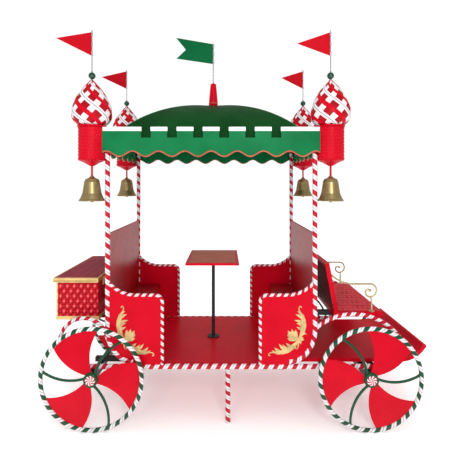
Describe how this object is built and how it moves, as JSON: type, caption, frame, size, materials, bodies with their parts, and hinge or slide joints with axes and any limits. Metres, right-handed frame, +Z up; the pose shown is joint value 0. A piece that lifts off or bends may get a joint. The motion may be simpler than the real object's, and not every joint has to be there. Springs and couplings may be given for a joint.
{
  "type": "open park stagecoach with turreted canopy",
  "caption": "Open stagecoach with facing benches, table, driver's bench, trunk, striped tube frame and a turreted pillow roof.",
  "frame": {"origin": "on the ground below the middle of the coach's overall box", "axes": "+X to the driver's end, +Y to the driver's left, +Z up"},
  "size_m": [3.108, 1.501, 3.2463],
  "materials": {
    "gloss_red": "high-gloss enamel",
    "deep_red": "gloss enamel, darker",
    "candy_stripe": "gloss white tube wound with red stripe",
    "green_stripe": "gloss green wound with white stripe",
    "dark_green": "gloss enamel",
    "fascia_green": "satin enamel",
    "satin_brass": "satin",
    "pale_gold": "gilt paint",
    "ribbon_white": "moulded ribbons, red and white",
    "green_ball": "gloss",
    "black_iron": "semi-gloss black"
  },
  "bodies": {
    "coach": {"floor_beams": "black_iron", "cross_members": "black_iron", "axles": "black_iron", "axle_blocks": "black_iron", "body_brackets": "black_iron", "table_column": "black_iron", "side_rails": "candy_stripe", "support_legs": "candy_stripe", "corner_posts": "candy_stripe", "panel_trim": "candy_stripe", "wheel_arches": "candy_stripe", "cabin_floor": "gloss_red", "footwell_floor": "gloss_red", "toe_board": "gloss_red", "side_panels": "gloss_red", "end_walls": "gloss_red", "bench_risers": "gloss_red", "driver_seat": "gloss_red", "trunk_box": "gloss_red", "turret_drums": "gloss_red", "roof_finial": "gloss_red", "pennants": "gloss_red", "bench_seats": "deep_red", "driver_backrest": "deep_red", "table_top": "deep_red", "canopy_frame": "dark_green", "roof_dome": "dark_green", "centre_flag": "dark_green", "canopy_fascia": "fascia_green", "bells": "satin_brass", "trunk_trim": "pale_gold", "trunk_hinges": "pale_gold", "arm_rails": "pale_gold", "turret_domes": "ribbon_white", "turret_spires": "green_ball"},
    "lid": {"trunk_lid": "deep_red", "lid_trim": "pale_gold"},
    "wheel_front_right_body": {"wheel_front_right": "green_stripe", "blades_front_right": "gloss_red"},
    "wheel_front_left_body": {"wheel_front_left": "green_stripe", "blades_front_left": "gloss_red"},
    "wheel_rear_right_body": {"wheel_rear_right": "green_stripe", "blades_rear_right": "gloss_red"},
    "wheel_rear_left_body": {"wheel_rear_left": "green_stripe", "blades_rear_left": "gloss_red"}
  },
  "joints": [
    {"name": "trunk_lid_hinge", "type": "hinge", "parent": "coach", "child": "lid", "pos_m": [-1.123, 0, 1.14], "axis": [0, 1, 0], "range_deg": [0, 90]},
    {"name": "spin_front_right", "type": "hinge", "parent": "coach", "child": "wheel_front_right_body", "pos_m": [1.037, -0.67, 0.412], "axis": [0, 1, 0], "continuous": true},
    {"name": "spin_front_left", "type": "hinge", "parent": "coach", "child": "wheel_front_left_body", "pos_m": [1.037, 0.67, 0.412], "axis": [0, 1, 0], "continuous": true},
    {"name": "spin_rear_right", "type": "hinge", "parent": "coach", "child": "wheel_rear_right_body", "pos_m": [-1.142, -0.67, 0.412], "axis": [0, 1, 0], "continuous": true},
    {"name": "spin_rear_left", "type": "hinge", "parent": "coach", "child": "wheel_rear_left_body", "pos_m": [-1.142, 0.67, 0.412], "axis": [0, 1, 0], "continuous": true}
  ]
}
